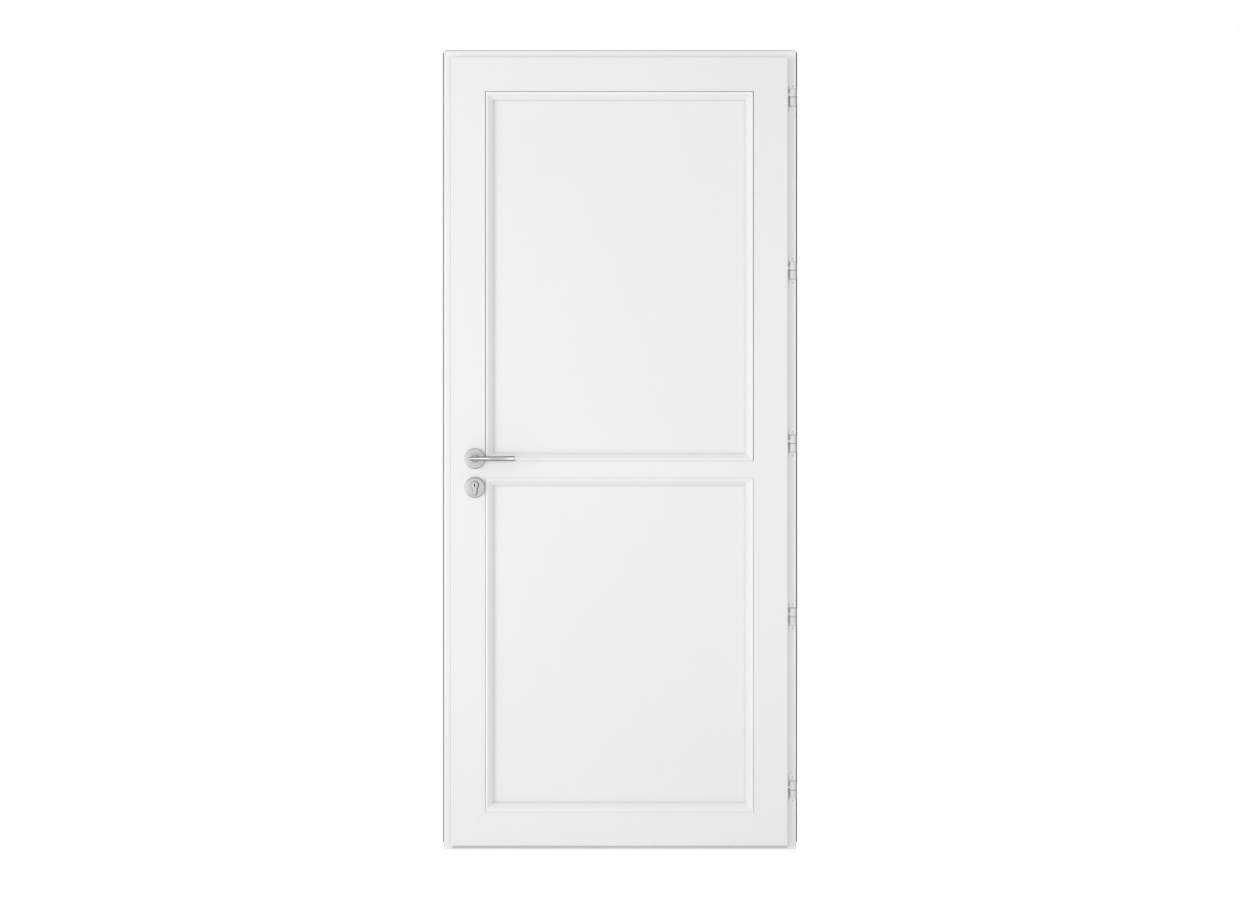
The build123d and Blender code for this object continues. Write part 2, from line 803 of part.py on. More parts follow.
def lock_case():
    """Thin case round the lock's works, open where bolts, follower and cylinder pass."""
    y_range = centred(leaf_middle_y, case_thickness)
    piece = block((case_front_x, case_back_x), y_range, (case_bottom, case_top))
    wall = case_wall
    inner_y = centred(leaf_middle_y, case_thickness - 2 * wall)
    inner_x = (case_front_x + wall, case_back_x - wall)
    piece -= block(inner_x, inner_y, (case_bottom + wall, case_top - wall))
    x_range = (case_front_x - overrun, case_front_x + wall)
    piece -= bolt_hole(latch_height, latch_z, x_range)
    piece -= bolt_hole(deadbolt_height, deadbolt_z, x_range)
    through = (leaf_face_y, leaf_back_y)
    piece -= at_lock(lever_height) * prism_y(Circle(follower_radius + follower_clearance), *through)
    piece -= at_lock(cylinder_z) * prism_y(euro_section(cylinder_clearance), *through)
    piece -= screws("faceplate", faceplate_screw_length, screw_clearance)
    return piece - cylinder_screw_body(cylinder_clearance)


def latch_bolt():
    """Sprung latch with a slanted tip, a tail over the follower and a lug before its arm."""
    tip_x = body_left - latch_throw
    rear_x = tip_x + latch_head_length
    half = bolt_thickness / 2
    points = [
        (tip_x, -half),
        (rear_x, -half),
        (rear_x, half),
        (tip_x + bolt_thickness - latch_tip_flat, half),
        (tip_x, latch_tip_flat - half),
    ]
    head = extrude(make_face(Polyline(*points, close=True)), amount=latch_height / 2, both=True)
    piece = Pos(0, leaf_middle_y, latch_z) * head
    lug_x = (lock_x - latch_lug_setback, lock_x - latch_lug_setback + latch_lug_length)
    tail_z = lever_height + latch_tail_rise
    tail_y = centred(leaf_middle_y, latch_tail_thickness)
    piece += block((rear_x, lug_x[1]), tail_y, (tail_z, tail_z + latch_tail_height))
    return piece + block(lug_x, tail_y, (tail_z - latch_lug_height, tail_z))


def deadbolt():
    """Square bolt, drawn flush with the faceplate."""
    x_range = (body_left, body_left + deadbolt_length)
    piece = block(x_range, centred(leaf_middle_y, bolt_thickness), centred(deadbolt_z, deadbolt_height))
    return chamfer(piece.faces().sort_by(Axis.X)[0].edges(), deadbolt_edge)


def lock_follower():
    """Hub that the spindle turns, with the arm that draws the latch."""
    y_range = centred(leaf_middle_y, case_thickness)
    piece = prism_y(Circle(follower_radius), *y_range)
    arm_y = centred(leaf_middle_y, bolt_thickness)
    arm = block(centred(0, follower_arm_width), arm_y, (0, follower_arm_reach))
    piece += arm.rotate(Axis.Y, -lever_range_angle / 2)
    piece -= prism_y(spindle_section(spindle_clearance), *y_range)
    return at_lock(lever_height) * piece


def spindle_section(clearance=0):
    """Square of the spindle or of a hole that it fits."""
    return Rectangle(spindle_size + 2 * clearance, spindle_size + 2 * clearance)


def spindle():
    """Square bar through the follower and into both levers."""
    y_range = (leaf_face_y - spindle_reach, leaf_back_y + spindle_reach)
    return at_lock(lever_height) * prism_y(spindle_section(), *y_range)


def cylinder_body():
    """Euro cylinder, bored for its plugs and slotted for its cam."""
    piece = prism_y(euro_section(), cylinder_room_y, cylinder_street_y)
    piece -= prism_y(Circle(plug_radius + plug_clearance), cylinder_room_y, cylinder_street_y)
    width = 2 * (cylinder_radius + overrun)
    slot_z = (-cam_radius - cam_sweep_clearance, cylinder_radius + overrun)
    piece -= block(centred(0, width), centred(leaf_middle_y, cam_zone), slot_z)
    return at_lock(cylinder_z) * piece - cylinder_screw_body(screw_clearance)


def room_plug():
    """Turning core on the room side, with its keyway."""
    y_end = leaf_middle_y - cam_zone / 2
    piece = prism_y(Circle(plug_radius), cylinder_room_y, y_end)
    y_range = (cylinder_room_y - overrun, cylinder_room_y + keyway_depth)
    keyway = block(centred(0, keyway_width), y_range, centred(0, keyway_height))
    return at_lock(cylinder_z) * (piece - keyway)


def cylinder_cam():
    """Cam between the plugs, its nose down in the cylinder's outline."""
    face = Circle(cam_ring_radius)
    face += Pos(0, -cam_radius / 2) * Rectangle(cam_nose_width, cam_radius)
    face &= Circle(cam_radius)
    y_range = centred(leaf_middle_y, cam_zone - 2 * cam_side_clearance)
    return at_lock(cylinder_z) * prism_y(face, *y_range)


def strike_plate():
    """Plate on the jamb's rebate with the openings for latch and bolt."""
    outline = rounded_plate(strike_width, strike_height, strike_edge_radius)
    place = Plane((rebate_left, leaf_middle_y, strike_middle), x_dir=(0, 1, 0), z_dir=(1, 0, 0))
    piece = extrude(place * outline, amount=strike_thickness)
    piece -= [bolt_pocket(latch_height, latch_z), bolt_pocket(deadbolt_height, deadbolt_z)]
    return piece - screws("strike", strike_screw_length, screw_clearance)


def rose_blank():
    """Disc on the room face with a soft front edge."""
    disc = prism_y(Circle(rose_radius), leaf_face_y - rose_thickness, leaf_face_y)
    return fillet(disc.edges().sort_by(Axis.Y)[0], rose_edge_radius)


def lever_rose():
    """Cap round the lever's neck, hollow behind for its base."""
    piece = rose_blank()
    front_y = leaf_face_y - rose_thickness
    piece -= prism_y(Circle(neck_radius + neck_clearance), front_y, leaf_face_y)
    piece -= prism_y(Circle(rose_radius - rose_wall), front_y + rose_front, leaf_face_y)
    return at_lock(lever_height) * piece


def lever_base():
    """Disc screwed to the leaf, which the rose clips over."""
    piece = prism_y(Circle(base_radius), leaf_face_y - base_thickness, leaf_face_y)
    piece -= prism_y(Circle(neck_radius + neck_clearance), leaf_face_y - base_thickness, leaf_face_y)
    return at_lock(lever_height) * piece - screws("rose", rose_screw_length, screw_clearance)


def key_rose():
    """Cap round the cylinder, its middle below the plug so that the whole profile sits in it."""
    hole = prism_y(euro_section(key_rose_clearance), leaf_face_y - rose_thickness, leaf_face_y)
    return at_lock(cylinder_z) * (Pos(0, 0, -key_rose_drop) * rose_blank() - hole)


def lever_section(plane, height):
    """Flat section of the lever on one plane, with round edges."""
    return plane * RectangleRounded(lever_depth, height, lever_edge_radius)


def room_lever():
    """Lever on the room side: round neck, flat arm and a flat bar mitred to it that swells to its tip."""
    neck_y = -rose_thickness - neck_stand
    neck = prism_y(Circle(neck_radius), neck_y, 0)
    neck = chamfer(neck.edges().sort_by(Axis.Y)[0], neck_edge)
    half = lever_depth / 2
    start = Plane((0, neck_y, 0), x_dir=(1, 0, 0), z_dir=(0, -1, 0))
    arm = extrude(lever_section(start, lever_root_height), amount=lever_reach + neck_y + half)
    root = Plane((-half, -lever_reach, 0), x_dir=(0, 1, 0), z_dir=(1, 0, 0))
    elbow = extrude(lever_section(root, lever_root_height), amount=lever_depth)
    mitre = [(-lever_depth, -lever_depth), (lever_depth, lever_depth), (-lever_depth, lever_depth)]
    corner = extrude(make_face(Polyline(*mitre, close=True)), amount=lever_depth, both=True)
    corner = Pos(0, -lever_reach, 0) * corner
    arm -= mirror(corner, about=Plane((0, -lever_reach, 0), x_dir=(1, 1, 0), z_dir=(1, -1, 0)))
    elbow -= corner
    first = Plane((half, -lever_reach, 0), x_dir=(0, 1, 0), z_dir=(1, 0, 0))
    tip = Plane((lever_length, -lever_reach, 0), x_dir=(0, 1, 0), z_dir=(1, 0, 0))
    bar = loft([lever_section(first, lever_root_height), lever_section(tip, lever_tip_height)])
    bar = fillet(bar.faces().sort_by(Axis.X)[-1].edges(), lever_tip_radius)
    piece = neck + arm + elbow + bar
    piece -= prism_y(spindle_section(spindle_clearance), -spindle_reach - spindle_clearance, overrun)
    return Pos(lock_x, leaf_face_y, lever_height) * piece


def pieces():
    """Every node's name with its solid or group of solids."""
    parts = {
        "lock_jamb": lock_jamb(),
        "hinge_jamb": hinge_jamb(),
        "frame_head": frame_head(),
        "threshold": threshold(),
        "frame_seal": frame_seal(),
        "strike_plate": strike_plate(),
        "strike_screws": Compound(children=screws("strike", strike_screw_length)),
        "hinge_pins": hinge_pins(),
        "hinge_washers": hinge_washers(),
        "hinge_screws": Compound(children=screws("hinge", hinge_screw_length)),
        "lock_stile": lock_stile(),
        "hinge_stile": hinge_stile(),
        "top_rail": leaf_member("top"),
        "bottom_rail": leaf_member("bottom"),
        "middle_rail": middle_rail(),
        "leaf_seal": leaf_seal(),
        "setting_blocks": setting_blocks(),
        "lock_faceplate": lock_faceplate(),
        "faceplate_screws": Compound(children=screws("faceplate", faceplate_screw_length)),
        "lock_case": lock_case(),
        "latch_bolt": latch_bolt(),
        "deadbolt": deadbolt(),
        "lock_follower": lock_follower(),
        "spindle": spindle(),
        "cylinder_body": cylinder_body(),
        "cylinder_screw": cylinder_screw_body(),
        "cylinder_cam": cylinder_cam(),
        "room_plug": room_plug(),
        "street_plug": outside(room_plug()),
        "room_lever": room_lever(),
        "street_lever": outside(room_lever()),
        "room_lever_rose": lever_rose(),
        "street_lever_rose": outside(lever_rose()),
        "room_lever_base": lever_base(),
        "street_lever_base": outside(lever_base()),
        "room_key_rose": key_rose(),
        "street_key_rose": outside(key_rose()),
        "rose_screws": Compound(children=screws("rose", rose_screw_length)),
    }
    for panel in panel_bounds:
        parts[f"{panel}_panel"] = panel_slab(panel)
        parts[f"{panel}_panel_seal"] = panel_seal(panel)
        for side in ("lock", "top", "hinge", "bottom"):
            parts[f"{panel}_{side}_bead"] = bead(panel, side)
    for number, height in enumerate(hinge_heights, start=1):
        parts[f"hinge_{number}_plate"] = hinge_plate(height)
        parts[f"hinge_{number}_knuckle"] = hinge_knuckle(height)
    return parts


os.makedirs("parts", exist_ok=True)
for name, shape in pieces().items():
    export_step(shape, f"parts/{name}.step")
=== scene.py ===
"""Dresses the white front door: finishes for every solid, light and camera.

Lengths are in metres: X runs to the hinge side, Y to the street and Z up from the floor.
"""

import logging
import math
from dataclasses import dataclass, field
from enum import Enum
from typing import Any, Iterable, Optional, Union

import bpy
import numpy as np
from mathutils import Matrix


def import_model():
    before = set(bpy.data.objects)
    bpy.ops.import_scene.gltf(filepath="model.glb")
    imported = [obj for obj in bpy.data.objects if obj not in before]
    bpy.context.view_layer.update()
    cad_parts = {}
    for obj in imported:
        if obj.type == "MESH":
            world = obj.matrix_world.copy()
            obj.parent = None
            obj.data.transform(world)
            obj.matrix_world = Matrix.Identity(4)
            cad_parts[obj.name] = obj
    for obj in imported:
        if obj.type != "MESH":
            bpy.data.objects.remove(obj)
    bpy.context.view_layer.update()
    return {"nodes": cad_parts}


LOG = logging.getLogger("front_door")

NOISE_MEAN = 0.5
NOISE_ROUGHNESS = 0.5

Key = Union[int, str]
Pair = tuple[float, float]
Vector3 = tuple[float, float, float]
Colour = tuple[float, float, float, float]
Operand = Union["Wire", float]
Nodes = dict[str, bpy.types.Object]


class Run(Enum):
    """Axis along which a profile was drawn, a metal was brushed or a mark comes in."""

    X = 0
    Y = 1
    Z = 2


class Face(Enum):
    """Side of the leaf that a piece of furniture sits on; the value starts its nodes' names."""

    ROOM = "room"
    STREET = "street"


class Wire:
    """Socket of a shader tree that can be used in Python sums."""

    def __init__(self, graph: "Graph", socket: bpy.types.NodeSocket) -> None:
        """Keeps the socket and the graph that it belongs to."""
        self.graph = graph
        self.socket = socket

    def _join(self, operation: str, first: Operand, second: Optional[Operand] = None) -> "Wire":
        """Adds one Math node.

        Args:
            operation: name of the Math node's operation.
            first: first operand, a wire or a number.
            second: second operand, if the operation takes one.

        Returns:
            The node's result.
        """
        inputs = {0: first} if second is None else {0: first, 1: second}
        return self.graph.node("ShaderNodeMath", {"operation": operation}, inputs).out(0)

    def __add__(self, other: Operand) -> "Wire":
        """Sum of two values."""
        return self._join("ADD", self, other)

    def __radd__(self, other: Operand) -> "Wire":
        """Sum with a number on the left."""
        return self._join("ADD", other, self)

    def __sub__(self, other: Operand) -> "Wire":
        """Difference of two values."""
        return self._join("SUBTRACT", self, other)

    def __rsub__(self, other: Operand) -> "Wire":
        """Difference from a number on the left."""
        return self._join("SUBTRACT", other, self)

    def __mul__(self, other: Operand) -> "Wire":
        """Product of two values."""
        return self._join("MULTIPLY", self, other)

    def size(self) -> "Wire":
        """Value without its sign."""
        return self._join("ABSOLUTE", self)

    def sqrt(self) -> "Wire":
        """Square root of a value."""
        return self._join("SQRT", self)

    def at_most(self, other: Operand) -> "Wire":
        """Smaller of two values."""
        return self._join("MINIMUM", self, other)

    def at_least(self, other: Operand) -> "Wire":
        """Larger of two values."""
        return self._join("MAXIMUM", self, other)

    def above(self, limit: Operand) -> "Wire":
        """One where the value is above a limit, and zero elsewhere."""
        return self._join("GREATER_THAN", self, limit)

    def step(self, start: float, full: float) -> "Wire":
        """Adds a smooth step between two values.

        Args:
            start: value at which the step is zero.
            full: value at which it is one, above or below the start.

        Returns:
            The step, between zero and one.
        """
        settings = {"interpolation_type": "SMOOTHSTEP"}
        inputs = {"Value": self, "From Min": start, "From Max": full}
        return self.graph.node("ShaderNodeMapRange", settings, inputs).out("Result")

    def past(self, limit: float, soft: float) -> "Wire":
        """Smooth step about a limit, as wide as the softness on either side."""
        return self.step(limit - soft, limit + soft)

    def mixed(self, other: "Wire", share: float) -> "Wire":
        """Mean of two values, weighted by the share of the first."""
        return self * share + other * (1.0 - share)

    def spread(self, amount: float) -> "Wire":
        """Deviation of a noise from its mean, times an amount."""
        return (self - NOISE_MEAN) * amount


class Added:
    """Node that was put into a tree, with short access to its outputs."""

    def __init__(self, graph: "Graph", node: bpy.types.Node) -> None:
        """Keeps the node and its graph."""
        self.graph = graph
        self.node = node

    def out(self, key: Key) -> Wire:
        """Output socket by name or number."""
        return Wire(self.graph, self.node.outputs[key])


class Graph:
    """Shader tree of a material or of the world."""

    def __init__(self, owner: Union[bpy.types.Material, bpy.types.World]) -> None:
        """Clears the owner's tree.

        Args:
            owner: material or world whose nodes are written.
        """
        owner.use_nodes = True
        self.tree = owner.node_tree
        self.tree.nodes.clear()

    def node(self, kind: str, settings: Optional[dict[str, Any]] = None,
             inputs: Optional[dict[Key, Any]] = None) -> Added:
        """Adds a node, sets its options and then its sockets.

        Args:
            kind: type name of the node.
            settings: attributes of the node.
            inputs: value or wire of each socket, by name or number.

        Returns:
            The node that was added.
        """
        node = self.tree.nodes.new(kind)
        for name, value in (settings or {}).items():
            setattr(node, name, value)
        for key, value in (inputs or {}).items():
            if isinstance(value, Wire):
                self.tree.links.new(value.socket, node.inputs[key])
            else:
                node.inputs[key].default_value = value
        return Added(self, node)

    def place(self, centre: Vector3 = (0.0, 0.0, 0.0), scale: Vector3 = (1.0, 1.0, 1.0)) -> Wire:
        """Adds the object coordinates about a centre, stretched per axis.

        Args:
            centre: point that becomes the origin, in metres.
            scale: factor of each axis after the move.

        Returns:
            The vector of each point.
        """
        start = self.node("ShaderNodeTexCoord").out("Object")
        moved = self.node("ShaderNodeVectorMath", {"operation": "SUBTRACT"}, {0: start, 1: centre}).out(0)
        return self.node("ShaderNodeVectorMath", {"operation": "MULTIPLY"}, {0: moved, 1: scale}).out(0)

    def axes(self, vector: Wire) -> tuple[Wire, Wire, Wire]:
        """Parts of a vector along X, Y and Z."""
        split = self.node("ShaderNodeSeparateXYZ", None, {0: vector})
        return split.out(0), split.out(1), split.out(2)

    def about(self, x: float = 0.0, y: float = 0.0, z: float = 0.0) -> tuple[Wire, Wire, Wire]:
        """Object coordinates along X, Y and Z about a centre."""
        return self.axes(self.place((x, y, z)))

    def noise(self, vector: Wire, scale: float, detail: float = 2.0) -> Wire:
        """Adds a smooth random value.

        Args:
            vector: place of each point.
            scale: pattern frequency along the vector.
            detail: number of finer patterns laid over the first one.

        Returns:
            The value between zero and one, about the noise's mean.
        """
        inputs = {"Vector": vector, "Scale": scale, "Detail": detail, "Roughness": NOISE_ROUGHNESS}
        return self.node("ShaderNodeTexNoise", {"noise_dimensions": "3D"}, inputs).out(0)

    def rings(self, x: Wire, z: Wire, frequency: float) -> Wire:
        """Adds a random value that depends on the distance to an axis along Y only.

        Args:
            x: place along X, from the axis.
            z: place along Z, from the axis.
            frequency: pattern frequency along the radius, per metre.

        Returns:
            The value between zero and one, about the noise's mean.
        """
        ray = self.node("ShaderNodeCombineXYZ", None, {0: distance(x, z) * frequency}).out(0)
        return self.noise(ray, 1.0)

    def seen(self) -> Wire:
        """Tells rays of the camera, of mirrors and of glass from those that only carry light.

        Returns:
            One for the first kind and zero for the second.
        """
        path = self.node("ShaderNodeLightPath")
        direct = path.out("Is Camera Ray").at_least(path.out("Is Glossy Ray"))
        return direct.at_least(path.out("Is Transmission Ray"))

    def blend(self, factor: Operand, first: Union[Wire, Colour], second: Union[Wire, Colour]) -> Wire:
        """Adds a mix of two colours.

        Args:
            factor: zero for the first colour and one for the second.
            first: colour or wire.
            second: colour or wire.

        Returns:
            The mixed colour.
        """
        mix = self.node("ShaderNodeMix", {"data_type": "RGBA"}, {0: factor, 6: first, 7: second})
        return mix.out(2)

    def bump(self, height: Wire, depth: float, strength: float) -> Wire:
        """Normal of a surface that a height map roughens."""
        inputs = {"Height": height, "Distance": depth, "Strength": strength}
        return self.node("ShaderNodeBump", None, inputs).out("Normal")

    def close(self, shader: Wire) -> None:
        """Joins a surface shader to the material's output."""
        self.node("ShaderNodeOutputMaterial", None, {"Surface": shader})


def distance(x: Wire, z: Wire) -> Wire:
    """Distance from an axis along Y, by the places along X and Z."""
    return (x * x + z * z).sqrt()


def grey(level: float) -> Colour:
    """Opaque grey of a linear level."""
    return (level, level, level, 1.0)


def tinted(level: float, tint: Vector3) -> Colour:
    """Opaque colour of a linear level and a tint, at most one in each part."""
    red, green, blue = (min(1.0, level * part) for part in tint)
    return (red, green, blue, 1.0)


def stretched(run: Run, along: float, across: float) -> Vector3:
    """Works out the scale that draws a pattern out along one axis.

    Args:
        run: axis of the lines.
        along: pattern frequency along the lines, per metre.
        across: pattern frequency across them, per metre.

    Returns:
        The scale of each axis.
    """
    scale = [across, across, across]
    scale[run.value] = along
    return (scale[0], scale[1], scale[2])


@dataclass(frozen=True)
class Mark:
    """Tone laid over a part of a surface, which is painted shade or painted light for every kind except the
    sill's end paint; each kind of mark says which part in its mask.
    """

    tone: float

    def mask(self, graph: Graph) -> Wire:
        """One where the mark lies and zero elsewhere.

        Args:
            graph: tree that gets the nodes.

        Returns:
            The mark's mask.
        """
        raise NotImplementedError

    def over(self, graph: Graph, colour: Wire) -> Wire:
        """Colour with the mark laid over it."""
        return graph.blend(self.mask(graph), colour, grey(self.tone))


@dataclass(frozen=True)
class EdgeShade(Mark):
    """Painted shade along a profile's outer front edge, where the rounded edge turns away from the lights."""

    axis: Run
    start: float
    depth: float = -0.0322
    front: float = -0.0386
    soft: float = 0.0006

    def mask(self, graph: Graph) -> Wire:
        """Covers what is beyond the start on either side, between the front and the depth.

        Args:
            graph: tree that gets the nodes.

        Returns:
            The line's mask.
        """
        parts = graph.about()
        beyond = parts[self.axis.value].size().past(self.start, self.soft)
        ahead = 1.0 - parts[1].past(self.depth, self.soft)
        return beyond * ahead * parts[1].past(self.front, self.soft)


@dataclass(frozen=True)
class PaintedFade(Mark):
    """Painted shade, where its tone is darker than the surface, and painted light, where it is paler, coming
    in along one axis.
    """

    axis: Run
    start: float
    full: float

    def mask(self, graph: Graph) -> Wire:
        """From nothing at the start to all at the full value of the axis."""
        return graph.about()[self.axis.value].step(self.start, self.full)


@dataclass(frozen=True)
class Ends(Mark):
    """White paint on the sill's two ends, under the fronts of the jambs."""

    start: float = 0.4195
    low: float = -0.004
    high: float = 0.005
    depth: float = -0.033
    soft: float = 0.0015

    def mask(self, graph: Graph) -> Wire:
        """Covers what is beyond the start on either side, in front of the depth and clear of the floor.

        Args:
            graph: tree that gets the nodes.

        Returns:
            The paint's mask.
        """
        x, y, z = graph.about()
        beyond = x.size().past(self.start, self.soft)
        return beyond * z.step(self.low, self.high) * (1.0 - y.above(self.depth))


@dataclass(frozen=True)
class MarginShade(Mark):
    """Painted shade on a panel along the beads that frame it, where they shade it."""

    middle: Pair
    half: Pair
    reach: float = 0.006

    def mask(self, graph: Graph) -> Wire:
        """Goes from all at the beads to nothing a reach inside their rectangle, by the nearest side.

        Args:
            graph: tree that gets the nodes.

        Returns:
            The margin's mask.
        """
        x, _, z = graph.about(x=self.middle[0], z=self.middle[1])
        inside = (self.half[0] - x.size()).at_most(self.half[1] - z.size())
        return 1.0 - inside.step(0.0, self.reach)


@dataclass(frozen=True)
class LitEars(Mark):
    """Painted light on the two ends of a hinge plate, beyond its knuckle, which makes them paler than its
    middle.
    """

    height: float
    clear: float = 0.0238
    soft: float = 0.001

    def mask(self, graph: Graph) -> Wire:
        """Above and below the knuckle."""
        _, _, z = graph.about(z=self.height)
        return z.size().past(self.clear, self.soft)


@dataclass(frozen=True)
class CollarShade(Mark):
    """Painted shade on a lever's neck, close to its rose."""

    middle: float = -0.018
    end: float = 0.0485
    soft: float = 0.0005

    def mask(self, graph: Graph) -> Wire:
        """Nearer to the leaf's middle than the neck's end."""
        _, y, _ = graph.about(y=self.middle)
        return 1.0 - y.size().past(self.end, self.soft)


@dataclass(frozen=True)
class FlankShade(Mark):
    """Painted shade towards the upper and lower edges of a lever, standing in for the dark reflections on its
    flanks.
    """

    height: float
    start: float = 0.0006
    full: float = 0.0020

    def mask(self, graph: Graph) -> Wire:
        """Above and below the bright line along the lever's middle."""
        _, _, z = graph.about(z=self.height)
        return z.size().step(self.start, self.full)


@dataclass(frozen=True)
class MidLeverShade(Mark):
    """Painted shade on a patch along a lever, which dims its reflections there."""

    middle: float
    half: float = 0.0225
    soft: float = 0.0095

    def mask(self, graph: Graph) -> Wire:
        """About one place along the lever, fading to both sides."""
        x, _, _ = graph.about(x=self.middle)
        return 1.0 - x.size().past(self.half, self.soft)


@dataclass(frozen=True)
class CylinderShadow(Mark):
    """Painted shadow round the lock cylinder, as its proud head would cast it, wider on the hinge side."""

    axis: Pair
    head: float = 0.0085
    tail: float = 0.005
    drop: float = 0.0195
    shift: float = 0.0009
    reach: float = 0.0022

    def mask(self, graph: Graph) -> Wire:
        """Covers the cylinder's profile and a reach round it, by the nearer of its round head and its tail.

        Args:
            graph: tree that gets the nodes.

        Returns:
            The line's mask.
        """
        x, _, z = graph.about(x=self.axis[0] + self.shift, z=self.axis[1])
        fall = (0.0 - z).at_least(0.0).at_most(self.drop)
        to_head = distance(x, z) - self.head
        to_tail = distance(x, z + fall) - self.tail
        return 1.0 - to_head.at_most(to_tail).step(0.0, self.reach)


@dataclass(frozen=True)
class RimHighlight(Mark):
    """Painted highlight on the lip of a rose, on its upper and lock side."""

    axis: Pair
    radius: float = 0.0248
    soft: float = 0.0008
    rise: float = 0.6
    start: float = -0.006
    full: float = 0.014

    def mask(self, graph: Graph) -> Wire:
        """Covers what is beyond the radius, fading out towards the hinge side and below.

        Args:
            graph: tree that gets the nodes.

        Returns:
            The lip's mask.
        """
        x, _, z = graph.about(x=self.axis[0], z=self.axis[1])
        outer = distance(x, z).past(self.radius, self.soft)
        return outer * (z * self.rise - x).step(self.start, self.full)


@dataclass(frozen=True)
class Finish:
    """Look of a piece; each kind of finish says what goes into its surface shader."""

    name: str
    marks: tuple[Mark, ...] = field(default=(), kw_only=True)

    def inputs(self, graph: Graph) -> dict[Key, Any]:
        """Works out what goes into the surface shader.

        Args:
            graph: tree that gets the nodes.

        Returns:
            The value or wire of each socket, by name.
        """
        raise NotImplementedError

    def marked(self, graph: Graph, colour: Wire) -> Wire:
        """Lays all marks over a colour, in their order.

        Args:
            graph: tree that gets the nodes.
            colour: colour of the bare surface.

        Returns:
            The colour with the marks.
        """
        for mark in self.marks:
            colour = mark.over(graph, colour)
        return colour

    def material(self) -> bpy.types.Material:
        """Writes the finish as a material.

        Returns:
            The new material.
        """
        material = bpy.data.materials.new(self.name)
        graph = Graph(material)
        surface = graph.node("ShaderNodeBsdfPrincipled", None, self.inputs(graph))
        graph.close(surface.out(0))
        return material


@dataclass(frozen=True)
class Plastic(Finish):
    """White extruded plastic with faint drawing lines and a soft sheen."""

    run: Run
    level: float = 0.855
    roughness: float = 0.42
    specular: float = 0.3
    dark: float = 0.985
    pale: float = 1.01
    wide_scale: float = 2.3
    line_scales: Pair = (0.8, 420.0)
    detail: float = 3.0
    skin_scale: float = 900.0
    skin_detail: float = 1.0
    share: float = 0.7
    wide_gloss: float = 0.12
    skin_gloss: float = 0.08
    relief: float = 0.00003
    strength: float = 0.5

    def inputs(self, graph: Graph) -> dict[Key, Any]:
        """Takes tone from a wide noise, and drawing lines along the profile and a fine skin as bump.

        Args:
            graph: tree that gets the nodes.

        Returns:
            The value or wire of each socket, by name.
        """
        wide = graph.noise(graph.place(), self.wide_scale, self.detail)
        drawn = stretched(self.run, *self.line_scales)
        lines = graph.noise(graph.place(scale=drawn), 1.0, self.detail)
        skin = graph.noise(graph.place(), self.skin_scale, self.skin_detail)
        tone = wide.mixed(lines, self.share)
        colour = graph.blend(tone, grey(self.level * self.dark), grey(self.level * self.pale))
        return {
            "Base Color": self.marked(graph, colour),
            "Roughness": self.roughness + wide.spread(self.wide_gloss) + skin.spread(self.skin_gloss),
            "Specular IOR Level": self.specular,
            "Normal": graph.bump(lines.mixed(skin, self.share), self.relief, self.strength),
        }


@dataclass(frozen=True)
class Brushed(Finish):
    """Metal with straight brush marks, bare or painted in part."""

    run: Run
    level: float
    roughness: float
    tint: Vector3 = (1.0, 1.0, 1.0)
    paint: Optional[Mark] = None
    dark: float = 0.86
    pale: float = 1.12
    line_scales: Pair = (18.0, 2600.0)
    detail: float = 3.0
    cloud_scale: float = 35.0
    share: float = 0.75
    line_gloss: float = 0.16
    cloud_gloss: float = 0.08
    relief: float = 0.00002
    strength: float = 0.35

    def inputs(self, graph: Graph) -> dict[Key, Any]:
        """Takes brush marks from a drawn-out noise in tone, gloss and height.

        Args:
            graph: tree that gets the nodes.

        Returns:
            The value or wire of each socket, by name.
        """
        drawn = stretched(self.run, *self.line_scales)
        lines = graph.noise(graph.place(scale=drawn), 1.0, self.detail)
        cloud = graph.noise(graph.place(), self.cloud_scale)
        dark = tinted(self.level * self.dark, self.tint)
        pale = tinted(self.level * self.pale, self.tint)
        colour = self.marked(graph, graph.blend(lines.mixed(cloud, self.share), dark, pale))
        metal: Operand = 1.0
        if self.paint is not None:
            colour = self.paint.over(graph, colour)
            metal = 1.0 - self.paint.mask(graph)
        return {
            "Base Color": colour,
            "Metallic": metal,
            "Roughness": self.roughness + lines.spread(self.line_gloss) + cloud.spread(self.cloud_gloss),
            "Normal": graph.bump(lines, self.relief, self.strength),
        }


@dataclass(frozen=True)
class Turned(Finish):
    """Metal with the fine rings that a lathe leaves about an axis along Y."""

    axis: Pair
    level: float
    roughness: float
    dark: float = 0.88
    pale: float = 1.1
    ring_scale: float = 3000.0
    cloud_scale: float = 60.0
    share: float = 0.6
    ring_gloss: float = 0.14
    cloud_gloss: float = 0.08
    relief: float = 0.00002
    strength: float = 0.35

    def inputs(self, graph: Graph) -> dict[Key, Any]:
        """Takes rings about the axis in tone, gloss and height.

        Args:
            graph: tree that gets the nodes.

        Returns:
            The value or wire of each socket, by name.
        """
        x, _, z = graph.about(x=self.axis[0], z=self.axis[1])
        rings = graph.rings(x, z, self.ring_scale)
        cloud = graph.noise(graph.place(), self.cloud_scale)
        tone = rings.mixed(cloud, self.share)
        colour = graph.blend(tone, grey(self.level * self.dark), grey(self.level * self.pale))
        return {
            "Base Color": self.marked(graph, colour),
            "Metallic": 1.0,
            "Roughness": self.roughness + rings.spread(self.ring_gloss) + cloud.spread(self.cloud_gloss),
            "Normal": graph.bump(rings, self.relief, self.strength),
        }


